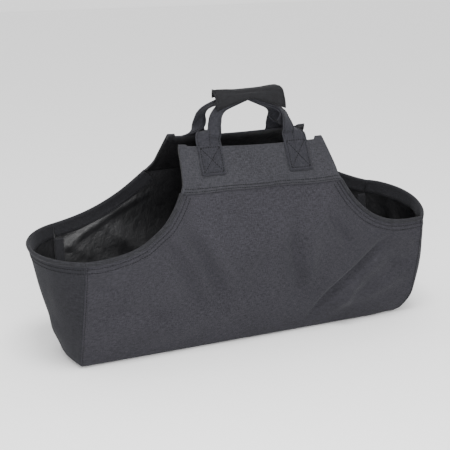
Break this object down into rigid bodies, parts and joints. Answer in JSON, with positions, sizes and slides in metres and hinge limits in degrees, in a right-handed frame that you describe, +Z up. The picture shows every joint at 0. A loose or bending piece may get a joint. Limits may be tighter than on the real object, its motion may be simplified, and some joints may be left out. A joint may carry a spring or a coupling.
{
  "type": "garden tool bag",
  "caption": "Long open-topped cloth carrier for garden tools, with sagging rims, bulging ends, a raised middle edge and paired strap handles held by a wrap-round grip.",
  "frame": {"origin": "middle of the underside, on the surface that the bag stands on", "axes": "+X along the bag's length, +Y from the front wall to the back wall, +Z up"},
  "size_m": [0.6872, 0.184, 0.389],
  "materials": {
    "body_cloth": "charcoal woven polyester, dull outside, with a black coated reverse",
    "hem_cloth": "the same cloth folded inward as a hem",
    "band_cloth": "the same charcoal cloth, folded over the top edge",
    "webbing": "folded charcoal cloth strap with edge stitching",
    "grip_cloth": "charcoal cloth, softly draped",
    "closure_tape": "black hook and loop tape",
    "seam_tape": "black binding tape",
    "thread": "charcoal polyester thread",
    "board": "black stiffening board"
  },
  "bodies": {
    "bag": {"front_panel": "body_cloth", "back_panel": "body_cloth", "right_end_panel": "body_cloth", "left_end_panel": "body_cloth", "base_panel": "body_cloth", "base_board": "board", "front_right_seam_tape": "seam_tape", "back_left_seam_tape": "seam_tape", "front_left_seam_tape": "seam_tape", "back_right_seam_tape": "seam_tape", "front_rim_hems": "hem_cloth", "back_rim_hems": "hem_cloth", "right_end_rim_hem": "hem_cloth", "left_end_rim_hem": "hem_cloth", "front_top_band": "band_cloth", "back_top_band": "band_cloth", "front_left_handle_foot": "webbing", "front_right_handle_foot": "webbing", "back_left_handle_foot": "webbing", "back_right_handle_foot": "webbing", "front_foot_stitching": "thread", "back_foot_stitching": "thread", "front_band_stitching": "thread", "back_band_stitching": "thread"},
    "front_handle": {"front_handle_strap": "webbing"},
    "back_handle": {"back_handle_strap": "webbing", "grip_cover": "grip_cloth", "grip_hook_tape": "closure_tape"},
    "flap": {"grip_flap": "grip_cloth", "grip_loop_tape": "closure_tape"}
  },
  "joints": [
    {"name": "front_handle_swing", "type": "hinge", "parent": "bag", "child": "front_handle", "pos_m": [0, -0.0324, 0.3156], "axis": [1, 0, 0], "range_deg": [0, 140], "deforming": ["grip_flap", "grip_loop_tape"]},
    {"name": "back_handle_swing", "type": "hinge", "parent": "bag", "child": "back_handle", "pos_m": [0, 0.0324, 0.3156], "axis": [-1, 0, 0], "range_deg": [0, 135], "deforming": ["grip_flap", "grip_loop_tape"]},
    {"name": "grip_flap_open", "type": "hinge", "parent": "back_handle", "child": "flap", "pos_m": [0, 0, 0.389], "axis": [-1, 0, 0], "range_deg": [0, 150]}
  ]
}
